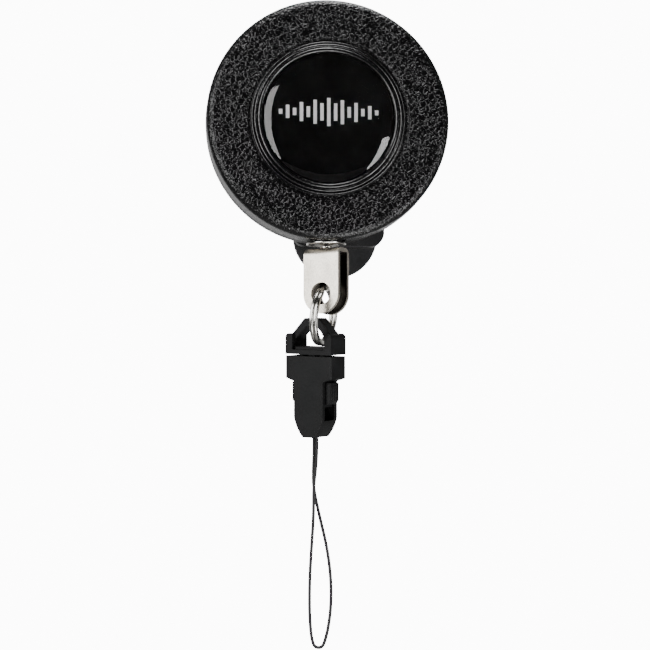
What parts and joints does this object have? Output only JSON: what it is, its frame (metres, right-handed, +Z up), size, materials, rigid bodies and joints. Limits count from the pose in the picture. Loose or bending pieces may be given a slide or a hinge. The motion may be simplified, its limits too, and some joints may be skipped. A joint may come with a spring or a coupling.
{
  "type": "retractable tether reel",
  "caption": "Belt-clip retractable tether reel with a round leather-faced case, swivelling clevis, split ring, mini side-release buckle and a thin cord loop.",
  "frame": {"origin": "on the reel's axis, on the outer face of the clip base that a belt lies against", "axes": "+Z up along the hanging tether, -Y out of the badge, +Y out of the belt clip, +X to the right seen from the badge side"},
  "size_m": [0.058, 0.0253, 0.1546],
  "materials": {
    "leather": "pebbled black leather, semi-gloss",
    "case_plastic": "satin moulded black",
    "badge_print": "black print with a pale plain motif",
    "badge_resin": "clear domed resin",
    "screw_steel": "plain steel",
    "spool_plastic": "natural acetal",
    "spring_steel": "tempered steel",
    "tether": "black coated braid",
    "nickel": "satin nickel plate",
    "brass": "crimped brass",
    "ring_steel": "bright nickel-plated wire",
    "buckle_plastic": "fine matte acetal",
    "loop_cord": "fine black braid",
    "clip_plastic": "fine-grained moulded black"
  },
  "bodies": {
    "case": {"leather_facing": "leather", "front_cover": "case_plastic", "badge_label": "badge_print", "badge_dome": "badge_resin", "rear_cover": "case_plastic", "case_screws": "screw_steel", "centre_post": "screw_steel", "post_screw": "screw_steel", "spool_washer": "spool_plastic", "tether_cable": "tether", "cord_guide": "case_plastic", "cord_nozzle": "nickel", "clip_base": "clip_plastic", "clip_screws": "screw_steel", "clip_pin": "screw_steel"},
    "spool": {"spool": "spool_plastic", "mainspring": "spring_steel", "tether_wound": "tether"},
    "tether_end": {"cable_stop": "brass"},
    "clevis": {"clevis": "nickel"},
    "split_ring": {"split_ring": "ring_steel"},
    "buckle_loop": {"buckle_loop": "buckle_plastic"},
    "latch_left": {"latch_left": "buckle_plastic"},
    "latch_right": {"latch_right": "buckle_plastic"},
    "buckle_body": {"buckle_body": "buckle_plastic", "cord_knot": "loop_cord", "loop_cord": "loop_cord"},
    "clip_lever": {"clip_lever": "clip_plastic", "clip_spring": "spring_steel"}
  },
  "joints": [
    {"name": "tether_pull", "type": "slide", "parent": "case", "child": "tether_end", "axis": [0, 0, -1], "range_m": [0, 0.9], "stiffness_N_per_m": 1.67, "springref_m": -0.6, "deforming": ["tether_cable"]},
    {"name": "spool_spin", "type": "hinge", "parent": "case", "child": "spool", "pos_m": [0, 0, 0], "axis": [0, 1, 0], "range_deg": [0, 3330], "deforming": ["mainspring", "tether_wound"]},
    {"name": "clevis_swivel", "type": "hinge", "parent": "tether_end", "child": "clevis", "pos_m": [0, -0.0094, -0.031], "axis": [0, 0, 1], "continuous": true},
    {"name": "ring_swing", "type": "hinge", "parent": "clevis", "child": "split_ring", "pos_m": [0, -0.0094, -0.04135], "axis": [-0.5736, -0.8192, 0], "range_deg": [-70, 70]},
    {"name": "buckle_swing", "type": "hinge", "parent": "split_ring", "child": "buckle_loop", "pos_m": [-0.00058, -0.00899, -0.0464], "axis": [0.8985, -0.4171, -0.1371], "range_deg": [-60, 10]},
    {"name": "latch_left_press", "type": "hinge", "parent": "buckle_loop", "child": "latch_left", "pos_m": [-0.00453, -0.00281, -0.05574], "axis": [0.6554, 0.7469, 0.1126], "range_deg": [-7, 0], "stiffness_Nm_per_rad": 0.02},
    {"name": "latch_right_press", "type": "hinge", "parent": "buckle_loop", "child": "latch_right", "pos_m": [0.00015, -0.00685, -0.05625], "axis": [0.6554, 0.7469, 0.1126], "range_deg": [0, 7], "stiffness_Nm_per_rad": 0.02},
    {"name": "buckle_release", "type": "slide", "parent": "buckle_loop", "child": "buckle_body", "axis": [0.0121, 0.1386, -0.9903], "range_m": [0, 0.014], "deforming": ["latch_left", "latch_right"]},
    {"name": "clip_open", "type": "hinge", "parent": "case", "child": "clip_lever", "pos_m": [0.0035, 0.0032, 0.0095], "axis": [1, 0, 0], "range_deg": [0, 18], "stiffness_Nm_per_rad": 0.6, "springref_deg": -11.46, "deforming": ["clip_spring"]}
  ],
  "couplings": [
    {"joint": "spool_spin", "follows": "tether_pull", "rad_per_m": 64.5}
  ]
}
